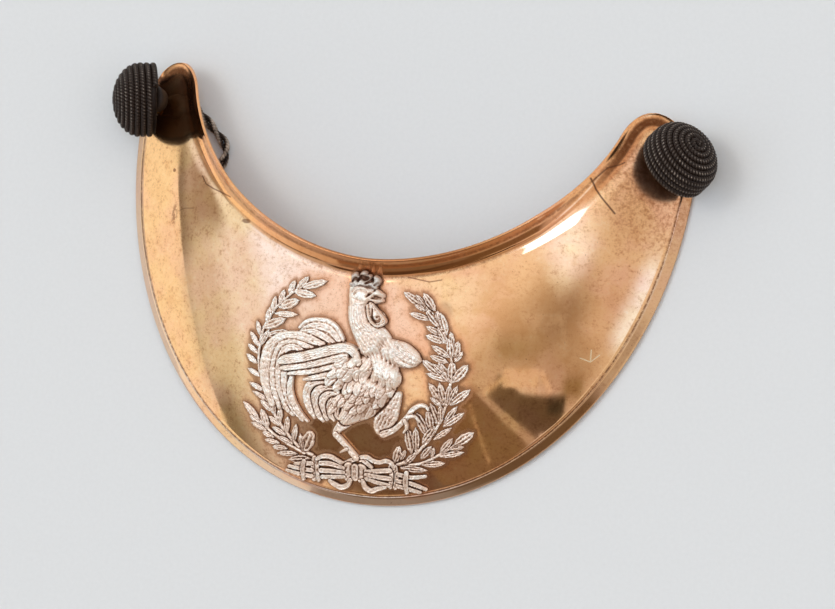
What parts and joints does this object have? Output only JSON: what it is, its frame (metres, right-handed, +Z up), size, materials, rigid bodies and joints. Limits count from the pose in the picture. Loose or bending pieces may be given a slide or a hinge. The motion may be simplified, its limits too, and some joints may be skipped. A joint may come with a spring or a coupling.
{
  "type": "officer's gorget",
  "caption": "Domed crescent breast plate of gilt copper, worn below the neck, with a silver rooster in a laurel wreath and a cord-wound button with a cord loop on each horn.",
  "frame": {"origin": "on the table, under the middle of the gorget's box without its cord loops", "axes": "+Z up from the table on which the gorget lies on its rim, +Y from the bottom of the rim towards the neck, +X to the right as the emblem is read"},
  "size_m": [0.1738, 0.1138, 0.0247],
  "materials": {
    "gilt_plate": "worn fire gilding over copper, polished, with olive tarnish, brown stains and fine scratches",
    "silver_emblem": "stamped silver-plated sheet, worn and warm on the high parts, brown tarnish in the hollows",
    "wound_cord": "black-brown silk cord wound in a spiral over a domed mould",
    "twisted_cord": "black-brown two-ply twisted cord",
    "brass_post": "plain dull brass"
  },
  "bodies": {
    "root": {"plate": "gilt_plate", "emblem": "silver_emblem", "button_left": "wound_cord", "button_right": "wound_cord", "button_post_left": "brass_post", "button_post_right": "brass_post", "cord_loop_left": "twisted_cord", "cord_loop_right": "twisted_cord"}
  },
  "joints": []
}
